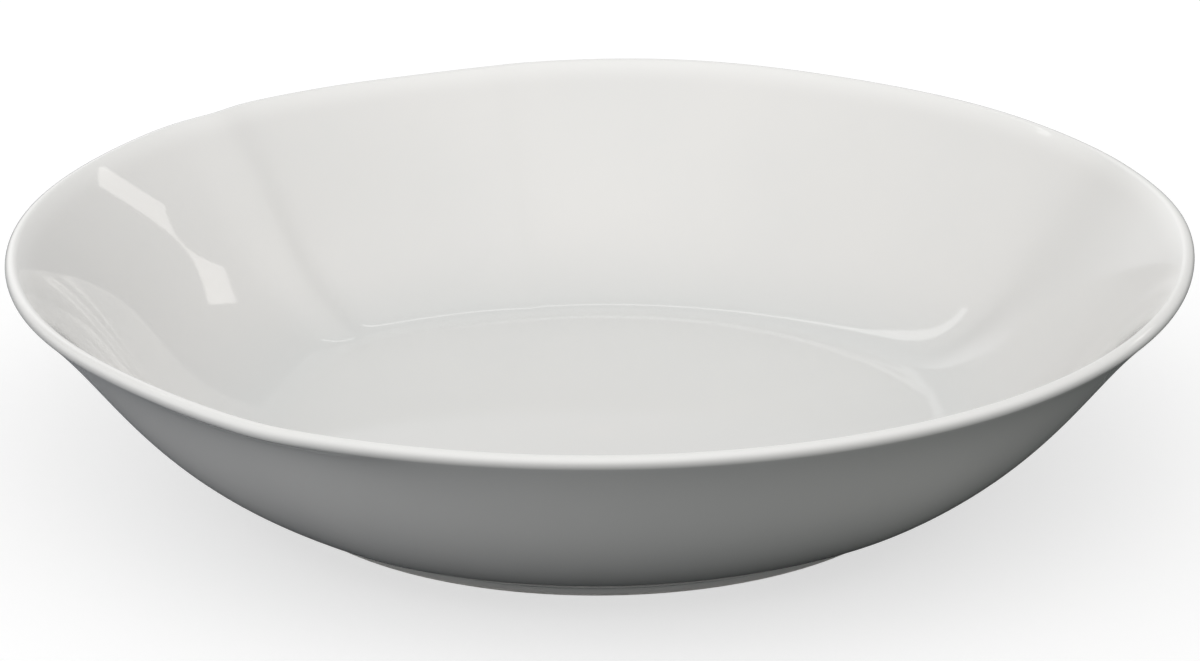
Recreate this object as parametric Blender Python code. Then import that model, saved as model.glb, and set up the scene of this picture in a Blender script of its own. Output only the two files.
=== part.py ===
"""Porcelain serving bowl: a fired body, its bare standing ring and the glaze fused to both.

Metres, +Z up. The table is the plane Z = 0, and the origin is below the middle of the bowl's overall box.
Every piece is turned about the foot's upright axis from a section of points (radius, height). The section
changes with the angle: folds pull the floor's outline and the rim outwards, and low waves run round the rim.
Angles are in degrees, counted anticlockwise from +X when seen from above.
"""

from collections import namedtuple

import bmesh
import bpy
import numpy as np

# Rim and lip, measured on the glazed surface.
RIM_RADIUS = 0.1600            # foot's axis to the outermost edge of the lip
RIM_HEIGHT = 0.0664            # table to the top of the lip
LIP_THICKNESS = 0.0040         # thickness at the fully rounded lip

# Outer wall: a curve that leaves the foot at one slope and reaches the lip at another.
FOOT_SLOPE = 23.7              # degrees from level where the wall leaves the foot
FOOT_PULL = 0.0478             # how far the wall keeps that slope
LIP_SLOPE = 43.6               # degrees from level just under the lip
LIP_PULL = 0.0310              # how far below the lip the wall keeps that slope

# Spout: the stretch of the rim where the lip leans outwards.
SPOUT_ANGLE = 238.0            # middle of the spout
SPOUT_WIDTH = 9.0              # half the width of its bell curve
SPOUT_LEAN = 20.0              # how much flatter the lip lies there
SPOUT_PULL = 0.0120            # how much shorter the lip's pull is there

# Inside: a flat floor, a soft corner and the wall's inner face.
WALL_THICKNESS = 0.0050        # thickness of the glazed wall half-way up
BASE_THICKNESS = 0.0076        # from the glazed underside to the inside floor
FLOOR_RADIUS = 0.0930          # radius of the floor's outline away from the folds
FLOOR_SHIFT = (0.0025, 0.0035)  # floor's middle, from the foot's axis
FLOOR_FILLET = 0.0065          # length of the soft corner between floor and wall, on either side

# Foot: a low ring with a sloping outer side and an upright inner side.
FOOT_INSET = 0.0030            # the foot's outer side at the table stands this far inside the floor's outline
FOOT_FLARE = 0.0014            # how much wider the foot is where the wall begins
FOOT_HEIGHT = 0.0028           # table to the groove between foot and wall
FOOT_WIDTH = 0.0062            # from the foot's outer side to its inner side
FOOT_CHAMFER = 0.0006          # broken edges of the standing face
RECESS_HEIGHT = 0.0034         # table to the glazed underside inside the foot

FOOT_RADIUS = FLOOR_RADIUS - FOOT_INSET
FLOOR_HEIGHT = RECESS_HEIGHT + BASE_THICKNESS

# Glaze and the gap that keeps touching pieces apart.
GLAZE_THICKNESS = 0.0005
GLAZE_LINE = 0.0008            # height at which the glaze is wiped off the foot
GAP = 0.0003

# Folds: valleys in the wall, seen from inside, that start at the floor's corners.
Fold = namedtuple("Fold", "angle floor_depth floor_width rim_depth rim_width")
FOLDS = (
    Fold(angle=27.0, floor_depth=0.0045, floor_width=10.0, rim_depth=0.0012, rim_width=13.0),
    Fold(angle=134.5, floor_depth=0.0070, floor_width=14.0, rim_depth=0.0012, rim_width=13.0),
    Fold(angle=239.0, floor_depth=0.0062, floor_width=16.0, rim_depth=0.0022, rim_width=9.0),
    Fold(angle=309.0, floor_depth=0.0050, floor_width=15.0, rim_depth=0.0006, rim_width=13.0),
)
CREASE_ROUNDING = 0.35         # how round a fold's bottom is, as a share of the fold's width
OUTER_FOLD_SHARE = 1.2         # how strongly the floor's folds pull the outer wall above the foot

# Waves of the rim between the folds.
Wave = namedtuple("Wave", "angle width outward upward")
RIM_WAVES = (
    Wave(angle=6.0, width=10.0, outward=0.0008, upward=0.0008),
    Wave(angle=45.0, width=9.0, outward=0.0000, upward=0.0004),
    Wave(angle=81.0, width=11.0, outward=0.0004, upward=0.0009),
    Wave(angle=109.0, width=6.0, outward=-0.0004, upward=-0.0006),
    Wave(angle=122.0, width=9.0, outward=0.0000, upward=-0.0008),
    Wave(angle=150.0, width=10.0, outward=0.0000, upward=-0.0005),
    Wave(angle=178.0, width=8.0, outward=0.0000, upward=0.0003),
    Wave(angle=221.0, width=9.0, outward=-0.0012, upward=0.0000),
)

# Mesh resolution.
TURN_STEPS = 120
OUTER_STEPS = 7
LIP_STEPS = 5
INNER_STEPS = 7
FILLET_STEPS = 3

SHARP_EDGE = 35.0              # edges sharper than this many degrees aren't shaded smooth

TURN = np.arange(TURN_STEPS)[:, None] * (360.0 / TURN_STEPS)


def heading(degrees):
    """A unit step (outwards, upwards) at an angle above level."""
    return np.stack([np.cos(np.radians(degrees)), np.sin(np.radians(degrees))], axis=-1)


def points(radius, height):
    """Section points from a radius and a height, one row for each angle of the turn."""
    radius, height = np.broadcast_arrays(np.asarray(radius, float) + 0.0 * TURN, height)
    return np.stack([radius, height], axis=-1)


def angle_from(centre):
    """Signed angle from a fold or a wave to every section, between -180 and 180."""
    return (TURN - centre + 180.0) % 360.0 - 180.0


def crease(centre, width):
    """1 at a fold's bottom, falling away to both sides with a bottom that is only slightly round."""
    aside = angle_from(centre) / width
    return np.exp(CREASE_ROUNDING - np.sqrt(aside ** 2 + CREASE_ROUNDING ** 2))


def swell(centre, width):
    """1 at a wave's top, falling away to both sides as a bell curve."""
    return np.exp(-0.5 * (angle_from(centre) / width) ** 2)


def floor_folds():
    return sum(fold.floor_depth * crease(fold.angle, fold.floor_width) for fold in FOLDS)


def rim_folds():
    return sum(fold.rim_depth * crease(fold.angle, fold.rim_width) for fold in FOLDS)


def floor_outline():
    """Radius of the corner between floor and wall, before it is rounded, at every angle."""
    sideways, forwards = FLOOR_SHIFT
    shift = sideways * np.cos(np.radians(TURN)) + forwards * np.sin(np.radians(TURN))
    return FLOOR_RADIUS + shift + floor_folds()


def lip_slope():
    """Slope of the wall just under the lip at every angle."""
    return LIP_SLOPE - SPOUT_LEAN * swell(SPOUT_ANGLE, SPOUT_WIDTH)


def lip_pull():
    """How far below the lip the wall keeps that slope at every angle."""
    return LIP_PULL - SPOUT_PULL * swell(SPOUT_ANGLE, SPOUT_WIDTH)


def lip_centre():
    """Middle of the lip's round edge at every angle."""
    outward = sum(wave.outward * swell(wave.angle, wave.width) for wave in RIM_WAVES)
    upward = sum(wave.upward * swell(wave.angle, wave.width) for wave in RIM_WAVES)
    half = LIP_THICKNESS / 2.0
    return points(RIM_RADIUS - half + outward + rim_folds(), RIM_HEIGHT - half + upward)


def curve(start, start_handle, end_handle, end, steps):
    """A cubic curve through every section, without its last point."""
    share = (np.arange(steps) / steps)[None, :, None]
    rest = 1.0 - share
    return (rest ** 3 * start + 3.0 * rest ** 2 * share * start_handle
            + 3.0 * rest * share ** 2 * end_handle + share ** 3 * end)


def sunk(line, depth):
    """The same line moved into the clay, which lies on its left, by a depth square to each stretch."""
    steps = np.diff(line, axis=1)
    steps /= np.linalg.norm(steps, axis=-1, keepdims=True)
    left = np.stack([-steps[..., 1], steps[..., 0]], axis=-1)
    before = np.concatenate([left[:, :1], left], axis=1)
    after = np.concatenate([left, left[:, -1:]], axis=1)
    mitre = (before + after) / (1.0 + np.sum(before * after, axis=-1, keepdims=True))
    return line + depth * mitre


def foot_side(height):
    """A point of the foot's sloping outer side at a height."""
    return points(FOOT_RADIUS + FOOT_FLARE * height / FOOT_HEIGHT, height)


def outer_frame():
    """The outer wall's ends and handles: from the groove above the foot up to the lip."""
    start = foot_side(FOOT_HEIGHT)
    end = lip_centre() - (LIP_THICKNESS / 2.0) * heading(lip_slope() + 90.0)
    folds = points(OUTER_FOLD_SHARE * (floor_folds() - floor_folds().mean()), 0.0)
    start_handle = start + FOOT_PULL * heading(FOOT_SLOPE) + folds
    end_handle = end - lip_pull()[..., None] * heading(lip_slope())
    return np.concatenate([start, start_handle, end_handle, end], axis=1)


def outer_wall():
    start, start_handle, end_handle, end = np.split(outer_frame(), 4, axis=1)
    return curve(start, start_handle, end_handle, end, OUTER_STEPS)


def lip():
    """Half a turn round the lip's centre, from the outer wall to the inner wall."""
    turns = lip_slope() - 90.0 + 180.0 * np.arange(LIP_STEPS) / LIP_STEPS
    return lip_centre() + (LIP_THICKNESS / 2.0) * heading(turns)


def inner_wall():
    """From the lip down to the soft corner, then round it onto the floor.

    The inner wall's handles are the outer wall's, moved into the bowl by the wall's thickness.
    """
    inward = heading(lip_slope() + 90.0)
    low_handle, high_handle = np.split(sunk(outer_frame(), WALL_THICKNESS)[:, 1:3], 2, axis=1)
    high_handle = high_handle - (WALL_THICKNESS - LIP_THICKNESS) * inward
    top = lip_centre() + (LIP_THICKNESS / 2.0) * inward
    corner = points(floor_outline(), FLOOR_HEIGHT)
    rise = low_handle - corner
    rise /= np.linalg.norm(rise, axis=-1, keepdims=True)
    wall_end = corner + FLOOR_FILLET * rise
    floor_edge = corner - points(FLOOR_FILLET, 0.0)
    wall = curve(top, high_handle, low_handle, wall_end, INNER_STEPS)
    fillet = curve(wall_end, (wall_end + 2.0 * corner) / 3.0, (floor_edge + 2.0 * corner) / 3.0,
                   floor_edge, FILLET_STEPS)
    return np.concatenate([wall, fillet, floor_edge], axis=1)


def glazed_surface():
    """The whole visible line: up the foot and the wall, over the lip, down and in to the axis."""
    return np.concatenate([foot_side(GLAZE_LINE), outer_wall(), lip(), inner_wall(),
                           points(0.0, FLOOR_HEIGHT)], axis=1)


def underside_line():
    """The glazed line under the bowl: up the foot's inner side, then in to the axis."""
    inner = FOOT_RADIUS - FOOT_WIDTH
    corner = RECESS_HEIGHT - GLAZE_LINE
    return np.concatenate([points(inner, GLAZE_LINE), points(inner, RECESS_HEIGHT - 0.5 * corner),
                           points(inner - 0.5 * corner, RECESS_HEIGHT), points(0.0, RECESS_HEIGHT)], axis=1)


def glaze_section():
    surface = glazed_surface()
    back = sunk(surface, GLAZE_THICKNESS)
    return np.concatenate([surface[:, ::-1], back], axis=1)


def body_section():
    surface = sunk(glazed_surface(), GLAZE_THICKNESS + GAP)[:, 1:]
    bottom = surface[:, :1, 1]
    inner = FOOT_RADIUS - FOOT_WIDTH + GLAZE_THICKNESS + GAP
    ceiling = RECESS_HEIGHT + GLAZE_THICKNESS + GAP
    under = np.concatenate([points(inner, bottom), points(inner, ceiling), points(0.0, ceiling)], axis=1)
    return np.concatenate([surface[:, ::-1], under], axis=1)


def ring_section():
    """The bare ring under the body, closed on itself."""
    depth = GLAZE_THICKNESS + GAP
    top = body_section()[:, -4:-3, 1] - GAP
    outer = sunk(np.concatenate([foot_side(FOOT_CHAMFER), foot_side(FOOT_HEIGHT)], axis=1), depth)
    run = (outer[:, 1:, 0] - outer[:, :1, 0]) / (outer[:, 1:, 1] - outer[:, :1, 1])
    low = points(outer[:, :1, 0] - run * (outer[:, :1, 1] - FOOT_CHAMFER), FOOT_CHAMFER)
    high = points(outer[:, :1, 0] + run * (top - outer[:, :1, 1]), top)
    inner = FOOT_RADIUS - FOOT_WIDTH + depth
    return np.concatenate([high, low, points(low[:, :1, 0] - FOOT_CHAMFER, 0.0),
                           points(inner + FOOT_CHAMFER, 0.0), points(inner, FOOT_CHAMFER),
                           points(inner, top)], axis=1)


def recess_section():
    surface = underside_line()
    back = surface.copy()
    back[..., 1] += GLAZE_THICKNESS
    back[:, :1, 1] -= GLAZE_THICKNESS
    back[:, :-1, 0] += GLAZE_THICKNESS
    return np.concatenate([back[:, ::-1], surface], axis=1)


def box_middle():
    """Where the middle of the rim's box lies from the foot's axis."""
    reach = lip_centre()[..., 0] + LIP_THICKNESS / 2.0
    across = reach * np.cos(np.radians(TURN))
    along = reach * np.sin(np.radians(TURN))
    return (across.max() + across.min()) / 2.0, (along.max() + along.min()) / 2.0


def turned_piece(name, section, material, closed=False):
    """Joins the sections into one closed body. A section runs from axis to axis, or closes on itself."""
    bm = bmesh.new()
    middle_x, middle_y = box_middle()
    ring_points = section if closed else section[:, 1:-1]
    rows = []
    for degrees, line in zip(TURN[:, 0], ring_points):
        across, along = heading(degrees)
        rows.append([bm.verts.new((radius * across - middle_x, radius * along - middle_y, height))
                     for radius, height in line])
    count = len(rows[0])
    for here, there in zip(rows, rows[1:] + rows[:1]):
        for place in range(count if closed else count - 1):
            after = (place + 1) % count
            bm.faces.new((here[place], here[after], there[after]))
            bm.faces.new((here[place], there[after], there[place]))
    if not closed:
        for place, height in ((0, section[0, 0, 1]), (count - 1, section[0, -1, 1])):
            pole = bm.verts.new((-middle_x, -middle_y, height))
            for here, there in zip(rows, rows[1:] + rows[:1]):
                bm.faces.new((here[place], there[place], pole))
    bmesh.ops.recalc_face_normals(bm, faces=bm.faces)
    mesh = bpy.data.meshes.new(name)
    bm.to_mesh(mesh)
    bm.free()
    mesh.shade_smooth()
    mesh.set_sharp_from_angle(angle=np.radians(SHARP_EDGE))
    mesh.materials.append(material)
    piece = bpy.data.objects.new(name, mesh)
    bpy.context.scene.collection.objects.link(piece)
    return piece


def finish(name, colour, roughness):
    material = bpy.data.materials.new(name)
    material.use_nodes = True
    shader = material.node_tree.nodes["Principled BSDF"]
    shader.inputs["Base Color"].default_value = (*colour, 1.0)
    shader.inputs["Roughness"].default_value = roughness
    shader.inputs["Metallic"].default_value = 0.0
    return material


def main():
    for leftover in list(bpy.data.objects):
        bpy.data.objects.remove(leftover)
    turned_piece("bowl_body", body_section(), finish("fired_porcelain", (0.80, 0.79, 0.76), 0.55))
    turned_piece("foot_ring", ring_section(), finish("bare_foot", (0.74, 0.72, 0.68), 0.75), closed=True)
    turned_piece("glaze_coat", glaze_section(), finish("white_glaze", (0.84, 0.83, 0.81), 0.06))
    turned_piece("recess_glaze", recess_section(), finish("foot_glaze", (0.82, 0.81, 0.79), 0.10))


main()
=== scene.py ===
import math
from collections import namedtuple

import bpy
import numpy as np
from bpy.props import FloatProperty, FloatVectorProperty, IntProperty, PointerProperty
from bpy.types import Operator, Panel, PropertyGroup
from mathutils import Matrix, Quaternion, Vector


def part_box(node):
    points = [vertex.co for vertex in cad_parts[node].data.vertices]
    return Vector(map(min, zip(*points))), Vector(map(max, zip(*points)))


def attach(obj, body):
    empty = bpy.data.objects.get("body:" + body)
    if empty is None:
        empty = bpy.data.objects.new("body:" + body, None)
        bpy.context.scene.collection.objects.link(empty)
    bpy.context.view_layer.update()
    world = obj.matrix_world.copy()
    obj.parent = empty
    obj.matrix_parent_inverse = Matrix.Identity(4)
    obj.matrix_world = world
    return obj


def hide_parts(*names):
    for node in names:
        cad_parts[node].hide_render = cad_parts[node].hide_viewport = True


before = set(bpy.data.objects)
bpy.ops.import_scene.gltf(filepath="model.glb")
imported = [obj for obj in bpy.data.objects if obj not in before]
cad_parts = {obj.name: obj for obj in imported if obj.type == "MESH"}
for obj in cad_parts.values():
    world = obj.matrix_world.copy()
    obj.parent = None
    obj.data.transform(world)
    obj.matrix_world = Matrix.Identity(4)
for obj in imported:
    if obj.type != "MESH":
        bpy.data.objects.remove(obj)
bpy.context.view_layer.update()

bl_info = {
    "name": "Porcelain Serving Bowl",
    "version": (1, 0, 0),
    "blender": (4, 5, 0),
    "location": "3D View > Sidebar > Bowl",
    "description": "Glazed porcelain serving bowl with soft folds in its wall, and the studio it stands in",
    "category": "Add Mesh",
}

RING_LOW, RING_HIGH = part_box("foot_ring")
AXIS = (RING_LOW + RING_HIGH) / 2.0          # the foot's upright axis; its height isn't used
TABLE = RING_LOW.z

# Folds: valleys in the wall, seen from inside, that start at the floor's corners. Angles and widths here and
# below are in degrees, counted anticlockwise from +X when seen from above.
Fold = namedtuple("Fold", "angle floor_depth floor_width rim_depth rim_width")
FOLDS = (
    Fold(angle=27.0, floor_depth=0.0045, floor_width=10.0, rim_depth=0.0012, rim_width=13.0),
    Fold(angle=134.5, floor_depth=0.0070, floor_width=14.0, rim_depth=0.0012, rim_width=13.0),
    Fold(angle=239.0, floor_depth=0.0062, floor_width=16.0, rim_depth=0.0022, rim_width=9.0),
    Fold(angle=309.0, floor_depth=0.0050, floor_width=15.0, rim_depth=0.0006, rim_width=13.0),
)

# Waves of the rim: how far their middles push it outwards and upwards.
Wave = namedtuple("Wave", "angle width outward upward")
RIM_WAVES = (
    Wave(angle=6.0, width=10.0, outward=0.0008, upward=0.0008),
    Wave(angle=45.0, width=9.0, outward=0.0000, upward=0.0004),
    Wave(angle=81.0, width=11.0, outward=0.0004, upward=0.0009),
    Wave(angle=109.0, width=6.0, outward=-0.0004, upward=-0.0006),
    Wave(angle=122.0, width=9.0, outward=0.0000, upward=-0.0008),
    Wave(angle=150.0, width=10.0, outward=0.0000, upward=-0.0005),
    Wave(angle=178.0, width=8.0, outward=0.0000, upward=0.0003),
    Wave(angle=221.0, width=9.0, outward=-0.0012, upward=0.0000),
)

# Ridges that run down the wall: how far they stand inwards at the lip and above the floor, and their width on
# the side of smaller and of larger angles.
Ridge = namedtuple("Ridge", "angle lip_height floor_height below above")
RIDGES = (
    Ridge(angle=101.5, lip_height=0.0003, floor_height=0.0004, below=1.5, above=5.0),
    Ridge(angle=134.6, lip_height=0.0016, floor_height=0.0030, below=3.2, above=4.5),
)

# Rows of the glaze coat's line, from the foot's side up, over the lip and in to the axis.
SIDE_ROWS = 3
GROOVE_ROWS = 6
OUTER_ROWS = 44
LIP_ROWS = 16
INNER_ROWS = 70
FILLET_ROWS = 18
FLOOR_ROWS = 12
VISIBLE_ROWS = SIDE_ROWS + GROOVE_ROWS + OUTER_ROWS + LIP_ROWS + INNER_ROWS + FILLET_ROWS + FLOOR_ROWS
HIDDEN_STEP = 4          # the glaze's hidden back takes only every fourth row
UNDERSIDE_ROWS = 12      # from the recess's rounded edge in to the axis
ROUND_ROWS = 8           # round a small edge of the foot
SHARP_ANGLE = 50.0       # edges that turn by more degrees than this are shaded sharp

# The bare ring's rounds beside its standing face, and the ledge above the outer one, as shares of the height
# between table and glaze.
RING_EDGE = 0.9
RING_LEDGE = 0.18

# Where glaze pools or runs thin along its line, its tints painting shade in the pools and light on the lip:
# middle and half width of each bell curve, in rows.
# the pooled tint in the groove above the foot and in the floor's soft corner is also painted shade of these
# hollows
GROOVE_POOL_SHADE = (SIDE_ROWS + GROOVE_ROWS / 2.0, 3.0)
CORNER_POOL_SHADE = (VISIBLE_ROWS - FLOOR_ROWS - FILLET_ROWS / 2.0, FILLET_ROWS)
CORNER_POOL_SHADE_DEPTH = 0.6  # against 1 in the groove
# the whiter thin glaze on the lip is also painted light on the lip's top
LIP_THIN_LIT = (SIDE_ROWS + GROOVE_ROWS + OUTER_ROWS + LIP_ROWS * 0.7, LIP_ROWS * 0.45)

GLAZE_IOR = 1.52
GRIT_HEIGHT = 0.00004    # relief of the clay's grain

# Lobes of the studio's light, which darken their place where the radiance is negative.
Lobe = namedtuple("Lobe", "azimuth elevation sharpness radiance")
TENT = (
    Lobe(azimuth=-90.0, elevation=60.0, sharpness=4.0, radiance=1.2),
    Lobe(azimuth=-90.0, elevation=30.0, sharpness=6.0, radiance=0.6),
    Lobe(azimuth=0.0, elevation=30.0, sharpness=6.0, radiance=0.62),
    Lobe(azimuth=180.0, elevation=30.0, sharpness=6.0, radiance=0.5),
    Lobe(azimuth=90.0, elevation=5.0, sharpness=8.0, radiance=0.25),
    Lobe(azimuth=110.0, elevation=20.0, sharpness=18.0, radiance=1.0),
    Lobe(azimuth=129.0, elevation=29.0, sharpness=60.0, radiance=-0.55),
    Lobe(azimuth=118.0, elevation=36.0, sharpness=100.0, radiance=-0.3),
    Lobe(azimuth=180.0, elevation=5.0, sharpness=8.0, radiance=0.8),
)
TENT_BASE = 0.26

# Rectangular lights round the bowl, aimed at a point above the foot's middle. Size is width and height in
# metres, and roll is their turn about the line to the bowl.
Softbox = namedtuple("Softbox", "name azimuth elevation size radiance tint roll")
SOFTBOXES = (
    Softbox("right_softbox", azimuth=44.0, elevation=27.8, size=(0.36, 0.12), radiance=1.8,
            tint=(1.0, 0.965, 0.93), roll=12.0),
    Softbox("back_strip", azimuth=109.0, elevation=48.0, size=(1.50, 0.06), radiance=1.6,
            tint=(1.0, 1.0, 1.0), roll=0.0),
)
LIGHT_DISTANCE = 1.6
LIGHT_AIM = Vector((0.0, 0.0, 0.04))

WHITE = (1.0, 1.0, 1.0, 1.0)
STAGE_EXTENT = 8.0       # half the width of the floor and the card
CARD_DROP = 0.0005       # card below the floor
# the card's right side is darker, so that the bowl's outside is shaded darker on its right
CARD_SPAN = (-0.15, 0.09)    # between these in X, the card's colour turns from its left to its right one
SENSOR_WIDTH = 36.0      # in millimetres, for the lens


def length(label, default, description):
    return FloatProperty(name=label, description=description, default=default, min=0.0, precision=5,
                         subtype="DISTANCE", unit="LENGTH")


def angle(label, degrees, description):
    return FloatProperty(name=label, description=description, default=math.radians(degrees), subtype="ANGLE")


def share(label, default, description):
    return FloatProperty(name=label, description=description, default=default, min=0.0)


def colour(label, default, description):
    return FloatVectorProperty(name=label, description=description, default=default, size=3,
                               min=0.0, max=1.0, subtype="COLOR")


class BowlShape(PropertyGroup):
    """Sizes of the glazed bowl."""

    rim_radius: length("Rim radius", 0.1600, "Foot's axis to the outermost edge of the lip")
    rim_height: length("Rim height", 0.0664, "Table to the top of the lip")
    lip_thickness: length("Lip thickness", 0.0040, "Thickness at the fully rounded lip")
    foot_slope: angle("Foot slope", 23.7, "Slope at which the wall leaves the foot")
    foot_pull: length("Foot pull", 0.0478, "How far the wall keeps the foot slope")
    lip_slope: angle("Lip slope", 43.6, "Slope of the wall just under the lip")
    lip_pull: length("Lip pull", 0.0310, "How far below the lip the wall keeps the lip slope")
    spout_angle: angle("Spout", 238.0, "Where the lip leans outwards like a low spout")
    spout_width: angle("Spout width", 9.0, "Half the width of the spout's bell curve")
    spout_lean: angle("Spout lean", 20.0, "How much flatter the lip lies at the spout")
    spout_pull: length("Spout pull", 0.0120, "How much sooner the wall turns down below the spout")
    wall_thickness: length("Wall thickness", 0.0050, "Thickness of the glazed wall half-way up")
    base_thickness: length("Base thickness", 0.0076, "From the glazed underside to the inside floor")
    floor_radius: length("Floor radius", 0.0930, "Radius of the floor's outline away from the folds")
    floor_shift: FloatVectorProperty(name="Floor shift", description="Floor's middle, from the foot's axis",
                                     default=(0.0025, 0.0035), size=2, subtype="XYZ", unit="LENGTH")
    floor_fillet: length("Floor fillet", 0.0065, "Length of the soft corner, on either side")
    crease_rounding: share("Crease rounding", 0.35, "How round a fold's bottom is, as a share of its width")
    outer_fold_share: share("Outer fold share", 1.2, "How strongly the folds pull the outer wall")
    foot_inset: length("Foot inset", 0.0030, "Floor outline to the foot's outer side at the table")
    foot_flare: length("Foot flare", 0.0014, "How much wider the foot is where the wall begins")
    foot_height: length("Foot height", 0.0028, "Table to the groove between foot and wall")
    foot_width: length("Foot width", 0.0062, "From the foot's outer side to its inner side")
    groove: length("Groove", 0.0007, "Glaze-filled rounding of the groove above the foot")
    recess_height: length("Recess height", 0.0034, "Table to the glazed underside inside the foot")
    glaze_thickness: length("Glaze thickness", 0.0005, "Thickness of the glaze")
    glaze_line: length("Glaze line", 0.0008, "Height at which the glaze is wiped off the foot")
    gap: length("Gap", 0.0003, "Gap that keeps touching pieces apart")
    turn_steps: IntProperty(name="Turn steps", description="Sections round the bowl", default=420, min=24)


class BowlFinish(PropertyGroup):
    """Colours and gloss of the bowl."""

    glaze_white: colour("Glaze", (0.800, 0.790, 0.770), "White of the glazed porcelain")
    glaze_clouded: colour("Clouded glaze", (0.785, 0.778, 0.760), "Tint of the faint clouds in the glaze")
    # whiter than the glaze: thin glaze, and painted light on the lip's top
    glaze_thin_lit: colour("Glaze, thin", (0.905, 0.900, 0.880), "Colour where the glaze runs thin on the lip")
    # darker and cooler than the glaze: pooled glaze, and painted shade in the groove above the foot and in
    # the floor's soft corner
    glaze_pooled_shade: colour("Pooled glaze", (0.740, 0.755, 0.745), "Tint where the glaze lies thick")
    clay: colour("Clay", (0.78, 0.765, 0.73), "Fired porcelain without glaze")
    clay_rubbed: colour("Rubbed clay", (0.52, 0.50, 0.47), "Marks that tables leave on the bare foot")
    gloss_low: share("Smoothest glaze", 0.030, "Lowest roughness of the glaze")
    gloss_high: share("Dullest glaze", 0.065, "Highest roughness of the glaze")
    ripple: length("Ripple", 0.00005, "Height of the glaze's long, low ripples")
    orange_peel: length("Orange peel", 0.000003, "Height of the glaze's fine dimples")


class BowlStudio(PropertyGroup):
    """Camera, light and floor."""

    camera_distance: length("Camera distance", 1.600, "Camera to the middle of the rim")
    camera_elevation: angle("Camera elevation", 19.6, "Camera above the rim's plane")
    camera_roll: angle("Camera roll", -0.20, "Turn of the camera about its own axis")
    camera_lens: FloatProperty(name="Lens", description="Focal length", default=177.3,
                               subtype="DISTANCE_CAMERA")
    aim_side: FloatProperty(name="Aim sideways", description="Aimed point, right of the foot's axis",
                            default=-0.0001, precision=5, subtype="DISTANCE", unit="LENGTH")
    aim_height: length("Aim height", 0.0403, "Aimed point above the table")
    rim_plane: length("Rim plane", 0.0640, "Height of the rim's plane that the distance is taken to")
    floor_colour: colour("Floor", (0.45, 0.45, 0.45), "Plain pale floor")
    floor_glow: share("Floor glow", 0.62, "Light that the floor itself gives off, to soften its shadow")
    # the card's greys stand in for shade under the bowl; its darker right side shades the bowl's right more
    shade_card_left: colour("Card, left", (0.265, 0.275, 0.290), "Left side of the card that only the bowl sees")
    shade_card_right: colour("Card, right", (0.135, 0.145, 0.143), "Right side of the card that only the bowl sees")


# ---------------------------------------------------------------- shape of the section

def heading(slope):
    """A unit step (outwards, upwards) at a slope above level, or one at each of several slopes."""
    return np.stack([np.cos(slope), np.sin(slope)], axis=-1)


def wrapped(degrees):
    """The same angle between -180 and 180 degrees."""
    return (degrees + 180.0) % 360.0 - 180.0


def crowded_turn(count, crowding=3.0, width=12.0, fine_step=0.05):
    """Angles round the bowl, closer together beside the ridges.

    Their density is one plus a bell curve at every ridge, and equal shares of its running sum give the
    angles.
    """
    fine = np.arange(0.0, 360.0, fine_step)
    density = 1.0 + sum(crowding * np.exp(-(wrapped(fine - ridge.angle) / width) ** 2) for ridge in RIDGES)
    running = np.concatenate([[0.0], np.cumsum(density)])
    return np.interp(np.arange(count) / count * running[-1], running, np.append(fine, 360.0))[:, None]


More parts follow.
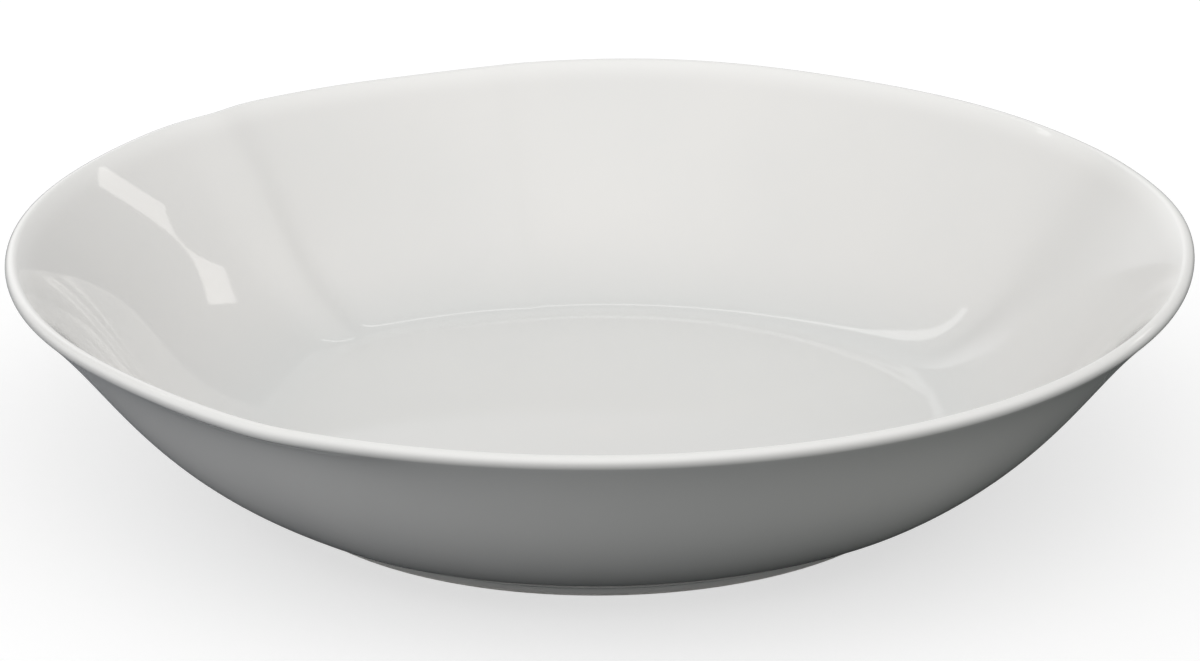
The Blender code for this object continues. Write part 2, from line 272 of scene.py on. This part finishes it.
class Section:
    """The bowl's section at every angle of the turn, as arrays of points (radius, height).

    Arrays have one row for each angle and one column for each point along the line, so a whole line of the
    bowl is worked out at once. Heights count from the table and radii from the foot's axis.
    """

    def __init__(self, shape, coarser=1):
        self.shape = shape
        self.turn = crowded_turn(shape.turn_steps // coarser)
        self.foot_radius = shape.floor_radius - shape.foot_inset
        self.floor_height = shape.recess_height + shape.base_thickness
        self.glaze_depth = shape.glaze_thickness + shape.gap
        leaning = self.swell(math.degrees(shape.spout_angle), math.degrees(shape.spout_width))[:, 0]
        self.lip_slope = shape.lip_slope - shape.spout_lean * leaning
        self.lip_pull = (shape.lip_pull - shape.spout_pull * leaning)[:, None]

    def points(self, radius, height):
        """Points from a radius and a height, one row for each angle."""
        radius, height = np.broadcast_arrays(np.asarray(radius, float) + 0.0 * self.turn, height)
        return np.stack([radius, height], axis=-1)

    def crease(self, centre, width):
        """Falls away exponentially to both sides of a fold, with a hyperbola's round at its bottom."""
        aside = wrapped(self.turn - centre) / width
        rounding = self.shape.crease_rounding
        return np.exp(rounding - np.sqrt(aside ** 2 + rounding ** 2))

    def swell(self, centre, width):
        """A bell curve about a wave's middle."""
        return np.exp(-0.5 * (wrapped(self.turn - centre) / width) ** 2)

    def floor_folds(self):
        """Sum of the folds' creases at the floor."""
        return sum(fold.floor_depth * self.crease(fold.angle, fold.floor_width) for fold in FOLDS)

    def rim_folds(self):
        """Sum of the folds' creases at the rim."""
        return sum(fold.rim_depth * self.crease(fold.angle, fold.rim_width) for fold in FOLDS)

    def ridges(self, growth):
        """Sum of bell curves, each with one width on either side: how far the wall stands inwards.

        Growth is 0 where a ridge has its height at the lip and 1 where it has its height above the floor.
        """
        total = 0.0
        for ridge in RIDGES:
            aside = wrapped(self.turn - ridge.angle)
            bell = np.exp(-(aside / np.where(aside < 0.0, ridge.below, ridge.above)) ** 2)
            total = total + bell * (ridge.lip_height + growth * (ridge.floor_height - ridge.lip_height))
        return total

    def floor_outline(self):
        """A shifted circle pushed outwards by the folds."""
        sideways, backwards = self.shape.floor_shift
        turn = np.radians(self.turn)
        shift = sideways * np.cos(turn) + backwards * np.sin(turn)
        return self.shape.floor_radius + shift + self.floor_folds()

    def lip_centre(self):
        """A level circle pushed outwards by the folds, and outwards and upwards by the waves."""
        outward = sum(wave.outward * self.swell(wave.angle, wave.width) for wave in RIM_WAVES)
        upward = sum(wave.upward * self.swell(wave.angle, wave.width) for wave in RIM_WAVES)
        half = self.shape.lip_thickness / 2.0
        return self.points(self.shape.rim_radius - half + outward + self.rim_folds(),
                           self.shape.rim_height - half + upward)

    @staticmethod
    def curve(start, start_handle, end_handle, end, steps):
        """A cubic curve in every section, without its last point."""
        along = (np.arange(steps) / steps)[None, :, None]
        rest = 1.0 - along
        return (rest ** 3 * start + 3.0 * rest ** 2 * along * start_handle
                + 3.0 * rest * along ** 2 * end_handle + along ** 3 * end)

    @staticmethod
    def sunk(line, depth):
        """The same line moved to its left, into the clay, by a depth measured square to each stretch."""
        steps = np.diff(line, axis=1)
        steps /= np.linalg.norm(steps, axis=-1, keepdims=True)
        left = np.stack([-steps[..., 1], steps[..., 0]], axis=-1)
        before = np.concatenate([left[:, :1], left], axis=1)
        after = np.concatenate([left, left[:, -1:]], axis=1)
        mitre = (before + after) / (1.0 + np.sum(before * after, axis=-1, keepdims=True))
        return line + depth * mitre

    @staticmethod
    def towards(start, end):
        """A unit step from one point to another, in every section."""
        step = end - start
        return step / np.linalg.norm(step, axis=-1, keepdims=True)

    def foot_side(self, height):
        """A point of the foot's sloping outer side."""
        flare = self.shape.foot_flare * height / self.shape.foot_height
        return self.points(self.foot_radius + flare, height)

    def lip_inward(self):
        """A unit step from the lip's centre to the inner wall, square to the wall."""
        return heading(self.lip_slope + math.pi / 2.0)[:, None, :]

    def outer_frame(self):
        """The outer wall's ends and handles, from the groove above the foot up to the lip."""
        shape = self.shape
        start = self.foot_side(shape.foot_height)
        end = self.lip_centre() - shape.lip_thickness / 2.0 * self.lip_inward()
        folds = self.floor_folds()
        pull = self.points(shape.outer_fold_share * (folds - folds.mean()), 0.0)
        start_handle = start + shape.foot_pull * heading(shape.foot_slope) + pull
        end_handle = end - self.lip_pull[:, :, None] * heading(self.lip_slope)[:, None, :]
        return np.concatenate([start, start_handle, end_handle, end], axis=1)

    def foot_and_groove(self):
        """Up the foot's side, then a small round of glaze into the wall."""
        shape = self.shape
        low = self.foot_side(shape.glaze_line)
        corner = self.foot_side(shape.foot_height)
        groove_start = corner + shape.groove * self.towards(corner, low)
        groove_end = corner + shape.groove * self.towards(corner, self.outer_frame()[:, 1:2])
        side = self.curve(low, (2.0 * low + groove_start) / 3.0, (low + 2.0 * groove_start) / 3.0,
                          groove_start, SIDE_ROWS)
        groove = self.curve(groove_start, corner, corner, groove_end, GROOVE_ROWS)
        return np.concatenate([side, groove], axis=1), groove_end

    def lip(self):
        """Half a turn round the lip's centre, from the outer wall to the inner wall."""
        turns = self.lip_slope[:, None] - math.pi / 2.0 + np.pi * np.arange(LIP_ROWS) / LIP_ROWS
        return self.lip_centre() + heading(turns) * self.shape.lip_thickness / 2.0

    def inner_wall(self):
        """From the lip to the soft corner. Its handles are the outer wall's, moved in by the thickness."""
        shape = self.shape
        inward = self.lip_inward()
        moved = self.sunk(self.outer_frame(), shape.wall_thickness)
        low_handle = moved[:, 1:2]
        high_handle = moved[:, 2:3] - (shape.wall_thickness - shape.lip_thickness) * inward
        top = self.lip_centre() + shape.lip_thickness / 2.0 * inward
        corner = self.points(self.floor_outline(), self.floor_height)
        wall_end = corner + shape.floor_fillet * self.towards(corner, low_handle)
        return self.curve(top, high_handle, low_handle, wall_end, INNER_ROWS), wall_end, corner

    def glazed_surface(self):
        """The visible line: up the foot and the wall, half round the lip, down the inside, in to the axis.

        The ridges grow from nothing at the foot, keep their full strength over the lip and down the inner
        wall, and fade out over the soft corner.
        """
        shape = self.shape
        foot, wall_start = self.foot_and_groove()
        _, low_handle, high_handle, wall_top = np.split(self.outer_frame(), 4, axis=1)
        outer = self.curve(wall_start, low_handle, high_handle, wall_top, OUTER_ROWS)
        inner, wall_end, corner = self.inner_wall()
        floor_edge = corner - self.points(shape.floor_fillet, 0.0)
        fillet = self.curve(wall_end, (wall_end + 2.0 * corner) / 3.0, (floor_edge + 2.0 * corner) / 3.0,
                            floor_edge, FILLET_ROWS)
        middle = self.points(0.0, self.floor_height)
        fade = np.linspace(1.0, 0.0, FLOOR_ROWS)[None, :, None]
        floor = middle + fade * (floor_edge - middle)
        line = np.concatenate([foot, outer, self.lip(), inner, fillet, floor], axis=1)
        up, down = np.arange(OUTER_ROWS) / OUTER_ROWS, np.arange(INNER_ROWS) / INNER_ROWS
        round_off = np.cos(np.arange(FILLET_ROWS) / FILLET_ROWS * math.pi / 2.0) ** 2
        growth = np.concatenate([np.zeros(SIDE_ROWS + GROOVE_ROWS), 1.0 - up, np.zeros(LIP_ROWS),
                                 np.sin(down * math.pi / 2.0), np.ones(FILLET_ROWS + FLOOR_ROWS)])
        strength = np.concatenate([np.zeros(SIDE_ROWS + GROOVE_ROWS), np.sin(up * math.pi / 2.0) ** 2,
                                   np.ones(LIP_ROWS + INNER_ROWS), round_off, np.zeros(FLOOR_ROWS)])
        line[..., 0] -= self.ridges(growth) * strength
        return line

    def glaze_coat(self):
        """The visible line and the same line sunk by the glaze's thickness, joined at the foot."""
        surface = self.glazed_surface()
        back = self.sunk(surface, self.shape.glaze_thickness)
        return np.concatenate([surface[:, ::-1], back[:, :-1:HIDDEN_STEP], back[:, -1:]], axis=1)

    @staticmethod
    def pooling_shade_and_lip_light():
        """How thick the glaze lies along the glaze coat's line.

        Bell curves above 0 at the groove and the soft corner, where it pools and where its darker tint also
        paints the shade of these hollows, and a flat-topped one below 0 on the lip, where it runs thin and
        its whiter tint also paints the light on the lip's top.
        """
        def bell(middle, half_width, power=2):
            return np.exp(-((np.arange(VISIBLE_ROWS) - middle) / half_width) ** power)

        visible = bell(*GROOVE_POOL_SHADE) + CORNER_POOL_SHADE_DEPTH * bell(*CORNER_POOL_SHADE) - bell(*LIP_THIN_LIT, power=4)
        hidden = len(range(0, VISIBLE_ROWS - 1, HIDDEN_STEP)) + 1
        return np.concatenate([visible[::-1], np.zeros(hidden)])

    def body(self):
        """The visible line sunk by glaze and gap, closed by a flat underside that steps over the ring."""
        surface = self.sunk(self.glazed_surface(), self.glaze_depth)[:, SIDE_ROWS + GROOVE_ROWS - 1:]
        inner = self.foot_radius - self.shape.foot_width + self.glaze_depth
        ceiling = self.shape.recess_height + self.glaze_depth
        under = np.concatenate([self.points(inner, surface[:, :1, 1]), self.points(inner, ceiling),
                                self.points(inner / 2.0, ceiling), self.points(0.0, ceiling)], axis=1)
        return np.concatenate([surface[:, :0:-2], surface[:, :1], under], axis=1)

    def quarter(self, centre_radius, centre_height, radius, first, last):
        """A quarter of a circle, from one heading in degrees to another."""
        turns = np.radians(np.linspace(first, last, ROUND_ROWS))
        ring = radius * heading(turns)
        return self.points(centre_radius + ring[None, :, 0], centre_height + ring[None, :, 1])

    def foot_ring(self):
        """Down behind the glaze, out under its lower edge, round onto the standing face and back up."""
        shape = self.shape
        below_glaze = shape.glaze_line - shape.gap
        edge, ledge = RING_EDGE * below_glaze, RING_LEDGE * below_glaze
        top = self.body()[:, -5:-4, 1] - shape.gap
        side = np.concatenate([self.foot_side(shape.glaze_line), self.foot_side(shape.foot_height)], axis=1)
        hidden = self.sunk(side, self.glaze_depth)
        bare = self.foot_radius - shape.gap / 2.0
        inner = self.foot_radius - shape.foot_width + self.glaze_depth
        rows = [self.points(hidden[:, 1:, 0], top), self.points(hidden[:, :1, 0], below_glaze),
                self.points(bare - ledge, below_glaze),
                self.quarter(bare - edge, edge, edge, 0.0, -90.0),
                self.quarter(inner + edge, edge, edge, -90.0, -180.0),
                self.points(inner, below_glaze), self.points(inner, top)]
        return np.concatenate(rows, axis=1)

    def underside(self):
        """Up the foot's inner side, a quarter round, then in to the axis; and the same line from behind."""
        shape = self.shape
        inner = self.foot_radius - shape.foot_width
        round_off = (shape.recess_height - shape.glaze_line) / 2.0
        start = shape.recess_height - round_off
        fade = np.linspace(1.0, 0.0, UNDERSIDE_ROWS)[None, 1:]
        line = np.concatenate([
            self.points(inner, shape.glaze_line), self.points(inner, (shape.glaze_line + start) / 2.0),
            self.quarter(inner - round_off, start, round_off, 0.0, 90.0),
            self.points(fade * (inner - round_off), shape.recess_height)], axis=1)
        back = self.sunk(line[:, ::-1], shape.glaze_thickness)
        return np.concatenate([back, line], axis=1)


# ---------------------------------------------------------------- meshes

def turned_mesh(name, section, line, closed=False, pooling_shade_and_lip_light=None):
    """Carries a line round the axis. Point (r, z) at angle t goes to (r cos t, r sin t, z).

    A line runs from axis to axis and gets a fan at either pole, or closes on itself as a ring. Its faces are
    turned outwards if the volume that they close off comes out negative. Pooling gives each point of the line
    its share of pooled glaze, which also carries painted shade in the groove and the floor's soft corner and
    painted light on the lip.
    """
    turn = np.radians(section.turn)
    body = line if closed else line[:, 1:-1]
    sections, count = body.shape[:2]
    grid = np.stack([body[..., 0] * np.cos(turn) + AXIS.x, body[..., 0] * np.sin(turn) + AXIS.y,
                     body[..., 1] + TABLE], axis=-1).reshape(-1, 3)
    index = np.arange(sections * count).reshape(sections, count)
    beside = np.roll(index, -1, axis=0)
    below, below_beside = np.roll(index, -1, axis=1), np.roll(beside, -1, axis=1)
    quads = np.stack([index, below, below_beside, beside], axis=-1)
    faces = (quads if closed else quads[:, :-1]).reshape(-1, 4)
    fans = []
    if not closed:
        poles = [[AXIS.x, AXIS.y, line[0, end, 1] + TABLE] for end in (0, -1)]
        first, last = len(grid), len(grid) + 1
        grid = np.concatenate([grid, poles])
        fans += np.stack([np.full(sections, first), index[:, 0], beside[:, 0]], axis=-1).tolist()
        fans += np.stack([np.full(sections, last), beside[:, -1], index[:, -1]], axis=-1).tolist()
    mesh = bpy.data.meshes.new(name)
    mesh.from_pydata(grid.tolist(), [], faces.tolist() + fans)
    if pooling_shade_and_lip_light is not None:
        attribute = mesh.attributes.new("pooling_shade_and_lip_light", "FLOAT", "POINT")
        attribute.data.foreach_set("value", np.append(np.tile(pooling_shade_and_lip_light[1:-1], sections), [0.0, 0.0]))
    middle = grid.mean(axis=0)
    corners = grid[faces] - middle
    volume = sum(np.sum(corners[:, 0] * np.cross(corners[:, place], corners[:, place + 1]))
                 for place in (1, 2))
    if volume < 0.0:
        mesh.flip_normals()
    mesh.shade_smooth()
    mesh.set_sharp_from_angle(angle=math.radians(SHARP_ANGLE))
    return mesh


def add_piece(name, mesh, material, node):
    """Puts a finished mesh in the scene in place of a CAD node, riding on the bowl."""
    piece = bpy.data.objects.new(name, mesh)
    bpy.context.scene.collection.objects.link(piece)
    mesh.materials.append(material)
    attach(piece, "root")
    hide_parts(node)


# ---------------------------------------------------------------- materials

class Finish:
    """A Principled material and short ways to add and join its nodes."""

    def __init__(self, name):
        self.material = bpy.data.materials.new(name)
        self.material.use_nodes = True
        self.nodes, self.links = self.material.node_tree.nodes, self.material.node_tree.links
        self.shader = self.nodes["Principled BSDF"]
        self.place = self.nodes.new("ShaderNodeTexCoord").outputs["Object"]

    def noise(self, scale, detail=2.0, distortion=0.0):
        """Noise between 0 and 1 over the piece, with a scale in waves per metre."""
        node = self.nodes.new("ShaderNodeTexNoise")
        node.inputs["Scale"].default_value = scale
        node.inputs["Detail"].default_value = detail
        node.inputs["Distortion"].default_value = distortion
        self.links.new(self.place, node.inputs["Vector"])
        return node.outputs["Fac"]

    def spread(self, value, low, high, new_low=0.0, new_high=1.0):
        """Values from low to high, moved to the range from new_low to new_high."""
        node = self.nodes.new("ShaderNodeMapRange")
        ends = {"From Min": low, "From Max": high, "To Min": new_low, "To Max": new_high}
        for socket, number in ends.items():
            node.inputs[socket].default_value = number
        self.links.new(value, node.inputs["Value"])
        return node.outputs["Result"]

    def blend(self, factor, start, end):
        """A colour between two others. The start is a colour or another blend."""
        node = self.nodes.new("ShaderNodeMix")
        node.data_type = "RGBA"
        sockets = {socket.identifier: socket for socket in node.inputs}
        if isinstance(start, bpy.types.NodeSocket):
            self.links.new(start, sockets["A_Color"])
        else:
            sockets["A_Color"].default_value = (*start, 1.0)
        sockets["B_Color"].default_value = (*end, 1.0)
        self.links.new(factor, sockets["Factor_Float"])
        return next(socket for socket in node.outputs if socket.identifier == "Result_Color")

    def bump(self, height, distance, over=None):
        """A bump of a height in metres, over another bump."""
        node = self.nodes.new("ShaderNodeBump")
        node.inputs["Distance"].default_value = distance
        self.links.new(height, node.inputs["Height"])
        if over is not None:
            self.links.new(over, node.inputs["Normal"])
        return node.outputs["Normal"]

    def across(self):
        """How far right a place of the piece lies, in metres."""
        node = self.nodes.new("ShaderNodeSeparateXYZ")
        self.links.new(self.place, node.inputs["Vector"])
        return node.outputs["X"]

    def attribute(self, name):
        """A number that the mesh holds for each of its points."""
        node = self.nodes.new("ShaderNodeAttribute")
        node.attribute_name = name
        return node.outputs["Fac"]

    def put(self, socket, value):
        """Leads a value into the shader."""
        self.links.new(value, self.shader.inputs[socket])


def glaze_material(finish, name):
    """Clear gloss over white porcelain.

    Faint clouds of colour and gloss, a cooler, darker tint where the glaze has pooled, which is also painted
    shade in the groove above the foot and in the floor's soft corner, a whiter one where it runs thin on the
    lip, which is also painted light on the lip's top, long low ripples from its flow in the kiln, and a fine
    orange peel.
    """
    glaze = Finish(name)
    clouds = glaze.noise(scale=21.0, detail=3.0)
    cloudy = glaze.spread(clouds, low=0.35, high=0.65)
    tint = glaze.blend(cloudy, finish.glaze_white, finish.glaze_clouded)
    depth = glaze.attribute("pooling_shade_and_lip_light")
    # pooled glaze, darker and cooler: also painted shade in the groove and the floor's soft corner
    pooled_and_shaded = glaze.blend(depth, tint, finish.glaze_pooled_shade)
    # whiter on the lip: thin glaze, and painted light on the lip's top
    thinness_and_light = glaze.spread(depth, low=0.0, high=-1.0)
    glaze.put("Base Color", glaze.blend(thinness_and_light, pooled_and_shaded, finish.glaze_thin_lit))
    dullness = glaze.noise(scale=33.0, detail=4.0)
    glaze.put("Roughness", glaze.spread(dullness, low=0.3, high=0.7, new_low=finish.gloss_low,
                                        new_high=finish.gloss_high))
    ripples = glaze.bump(glaze.noise(scale=17.0, detail=1.0), finish.ripple)
    glaze.put("Normal", glaze.bump(glaze.noise(scale=420.0, detail=1.0), finish.orange_peel, ripples))
    glaze.shader.inputs["IOR"].default_value = GLAZE_IOR
    return glaze.material


def clay_material(finish, name):
    """Ground porcelain without glaze: matt, finely grained, with grey marks rubbed into it by tables."""
    clay = Finish(name)
    marks = clay.spread(clay.noise(scale=140.0, detail=6.0, distortion=0.6), low=0.54, high=0.70)
    scratches = clay.spread(clay.noise(scale=900.0), low=0.62, high=0.72, new_high=0.5)
    tint = clay.blend(marks, finish.clay, finish.clay_rubbed)
    clay.put("Base Color", clay.blend(scratches, tint, finish.clay_rubbed))
    clay.put("Roughness", clay.spread(marks, low=0.0, high=1.0, new_low=0.78, new_high=0.55))
    clay.put("Normal", clay.bump(clay.noise(scale=2600.0, detail=3.0), GRIT_HEIGHT))
    return clay.material


# ---------------------------------------------------------------- operators

class BOWL_OT_glaze_coat(Operator):
    """Make the glossy coat over the inside, the lip, the outside and the foot's side"""

    bl_idname = "bowl.glaze_coat"
    bl_label = "Glaze Coat"

    def execute(self, context):
        section = Section(context.scene.bowl_shape)
        mesh = turned_mesh("glaze", section, section.glaze_coat(), pooling_shade_and_lip_light=section.pooling_shade_and_lip_light())
        material = glaze_material(context.scene.bowl_finish, "glossy_glaze")
        add_piece("glaze", mesh, material, "glaze_coat")
        return {"FINISHED"}


class BOWL_OT_underside_glaze(Operator):
    """Make the glaze inside the foot ring"""

    bl_idname = "bowl.underside_glaze"
    bl_label = "Underside Glaze"

    def execute(self, context):
        section = Section(context.scene.bowl_shape, coarser=2)
        mesh = turned_mesh("underside_glaze", section, section.underside())
        material = glaze_material(context.scene.bowl_finish, "glossy_underside")
        add_piece("underside_glaze", mesh, material, "recess_glaze")
        return {"FINISHED"}


class BOWL_OT_foot_ring(Operator):
    """Make the bare ring that the bowl stands on"""

    bl_idname = "bowl.foot_ring"
    bl_label = "Foot Ring"

    def execute(self, context):
        section = Section(context.scene.bowl_shape, coarser=2)
        mesh = turned_mesh("standing_ring", section, section.foot_ring(), closed=True)
        material = clay_material(context.scene.bowl_finish, "rubbed_foot")
        add_piece("standing_ring", mesh, material, "foot_ring")
        return {"FINISHED"}


class BOWL_OT_body(Operator):
    """Make the fired porcelain body under the glaze"""

    bl_idname = "bowl.body"
    bl_label = "Body"

    def execute(self, context):
        section = Section(context.scene.bowl_shape)
        mesh = turned_mesh("porcelain", section, section.body())
        material = clay_material(context.scene.bowl_finish, "bare_porcelain")
        add_piece("porcelain", mesh, material, "bowl_body")
        return {"FINISHED"}


def direction(azimuth, elevation):
    """A unit vector at an azimuth from +X and an elevation, both in degrees."""
    flat = math.cos(math.radians(elevation))
    return Vector((flat * math.cos(math.radians(azimuth)), flat * math.sin(math.radians(azimuth)),
                   math.sin(math.radians(elevation))))


def add_softbox(box):
    """A rectangular light on a sphere round the bowl, facing its middle, of the power for its radiance."""
    data = bpy.data.lights.new(box.name, "AREA")
    data.shape = "RECTANGLE"
    data.size, data.size_y = box.size
    data.energy = box.radiance * box.size[0] * box.size[1] * math.pi
    data.color = box.tint
    lamp = bpy.data.objects.new(box.name, data)
    away = direction(box.azimuth, box.elevation)
    lamp.location = LIGHT_AIM + LIGHT_DISTANCE * away
    facing = (-away).to_track_quat("-Z", "Y") @ Quaternion((0.0, 0.0, 1.0), math.radians(box.roll))
    lamp.rotation_euler = facing.to_euler()
    bpy.context.scene.collection.objects.link(lamp)


def studio_world():
    """A white tent of soft lobes of light.

    Each lobe's radiance is its peak, times the cosine of the angle from its middle to the power of its
    sharpness; the base is the same everywhere.
    """
    world = bpy.data.worlds.new("studio")
    world.use_nodes = True
    nodes, links = world.node_tree.nodes, world.node_tree.links
    place = nodes.new("ShaderNodeTexCoord").outputs["Generated"]

    def step(operation, first, second):
        """One sum, product or other step on two numbers or sockets."""
        node = nodes.new("ShaderNodeMath")
        node.operation = operation
        for socket, value in zip(node.inputs, (first, second)):
            if isinstance(value, float):
                socket.default_value = value
            else:
                links.new(value, socket)
        return node.outputs[0]

    total = None
    for lobe in TENT:
        across = nodes.new("ShaderNodeVectorMath")
        across.operation = "DOT_PRODUCT"
        across.inputs[1].default_value = direction(lobe.azimuth, lobe.elevation)
        links.new(place, across.inputs[0])
        cosine = step("MAXIMUM", across.outputs["Value"], 0.0)
        level = step("MULTIPLY", step("POWER", cosine, lobe.sharpness), lobe.radiance)
        total = step("ADD", TENT_BASE if total is None else total, level)
    links.new(total, nodes["Background"].inputs["Strength"])
    nodes["Background"].inputs["Color"].default_value = WHITE
    return world


def sheet_material(name, left, right, glow=0.0):
    """A matt sheet that turns from one colour to another across the bowl, with a glow of its own."""
    sheet = Finish(name)
    sheet.put("Base Color", sheet.blend(sheet.spread(sheet.across(), *CARD_SPAN), left, right))
    sheet.shader.inputs["Roughness"].default_value = 0.9
    sheet.shader.inputs["Specular IOR Level"].default_value = 0.0
    sheet.shader.inputs["Emission Color"].default_value = WHITE
    sheet.shader.inputs["Emission Strength"].default_value = glow
    return sheet.material


def stage_plane(name, height, material):
    """A flat sheet of the studio."""
    mesh = bpy.data.meshes.new(name)
    corners = [(x * STAGE_EXTENT, y * STAGE_EXTENT, height) for x, y in ((-1, -1), (1, -1), (1, 1), (-1, 1))]
    mesh.from_pydata(corners, [], [(0, 1, 2, 3)])
    mesh.materials.append(material)
    plane = bpy.data.objects.new(name, mesh)
    bpy.context.scene.collection.objects.link(plane)
    return plane


def studio_camera(studio):
    """A camera above the table in front of the bowl, aimed a little below the rim."""
    data = bpy.data.cameras.new("camera")
    data.lens = studio.camera_lens
    data.sensor_width = SENSOR_WIDTH
    camera = bpy.data.objects.new("camera", data)
    away = studio.camera_distance * heading(studio.camera_elevation)
    camera.location = (0.0, -away[0], studio.rim_plane + away[1])
    aim = Vector((studio.aim_side, 0.0, studio.aim_height)) - camera.location
    roll = Quaternion((0.0, 0.0, 1.0), studio.camera_roll)
    camera.rotation_euler = (aim.to_track_quat("-Z", "Y") @ roll).to_euler()
    bpy.context.scene.collection.objects.link(camera)
    return camera


class BOWL_OT_stage(Operator):
    """Make the floor, the lights and the camera"""

    bl_idname = "bowl.stage"
    bl_label = "Stage"

    def execute(self, context):
        studio = context.scene.bowl_studio
        context.scene.camera = studio_camera(studio)
        # the pale floor shows to the camera, and a greyer card just under it, seen only by the bowl, lights
        # the bowl from below only dimly: its grey stands in for shade under the bowl, darker on the right
        paper = sheet_material("floor", studio.floor_colour, studio.floor_colour, studio.floor_glow)
        floor = stage_plane("floor", TABLE, paper)
        floor.visible_diffuse = False
        floor.visible_glossy = False
        floor.visible_shadow = False
        grey = sheet_material("table_card", studio.shade_card_left, studio.shade_card_right)
        card = stage_plane("table_card", TABLE - CARD_DROP, grey)
        card.visible_camera = False
        for box in SOFTBOXES:
            add_softbox(box)
        context.scene.world = studio_world()
        context.scene.view_settings.view_transform = "Standard"
        return {"FINISHED"}


class BOWL_PT_panel(Panel):
    """Lists the bowl's pieces and the stage, with their sizes and colours"""

    bl_idname = "BOWL_PT_panel"
    bl_label = "Serving Bowl"
    bl_space_type = "VIEW_3D"
    bl_region_type = "UI"
    bl_category = "Bowl"

    def draw(self, context):
        for operator in OPERATORS:
            self.layout.operator(operator.bl_idname)
        for title, group in (("Shape", context.scene.bowl_shape), ("Finish", context.scene.bowl_finish),
                             ("Studio", context.scene.bowl_studio)):
            box = self.layout.box()
            box.label(text=title)
            for name in type(group).__annotations__:
                box.prop(group, name)


OPERATORS = (BOWL_OT_glaze_coat, BOWL_OT_underside_glaze, BOWL_OT_foot_ring, BOWL_OT_body, BOWL_OT_stage)
CLASSES = (BowlShape, BowlFinish, BowlStudio, *OPERATORS, BOWL_PT_panel)


def register():
    for item in CLASSES:
        bpy.utils.register_class(item)
    bpy.types.Scene.bowl_shape = PointerProperty(type=BowlShape)
    bpy.types.Scene.bowl_finish = PointerProperty(type=BowlFinish)
    bpy.types.Scene.bowl_studio = PointerProperty(type=BowlStudio)


def unregister():
    del bpy.types.Scene.bowl_shape, bpy.types.Scene.bowl_finish, bpy.types.Scene.bowl_studio
    for item in reversed(CLASSES):
        bpy.utils.unregister_class(item)


def main():
    register()
    bpy.ops.bowl.glaze_coat()
    bpy.ops.bowl.underside_glaze()
    bpy.ops.bowl.foot_ring()
    bpy.ops.bowl.body()
    bpy.ops.bowl.stage()


if __name__ == "__main__":
    main()
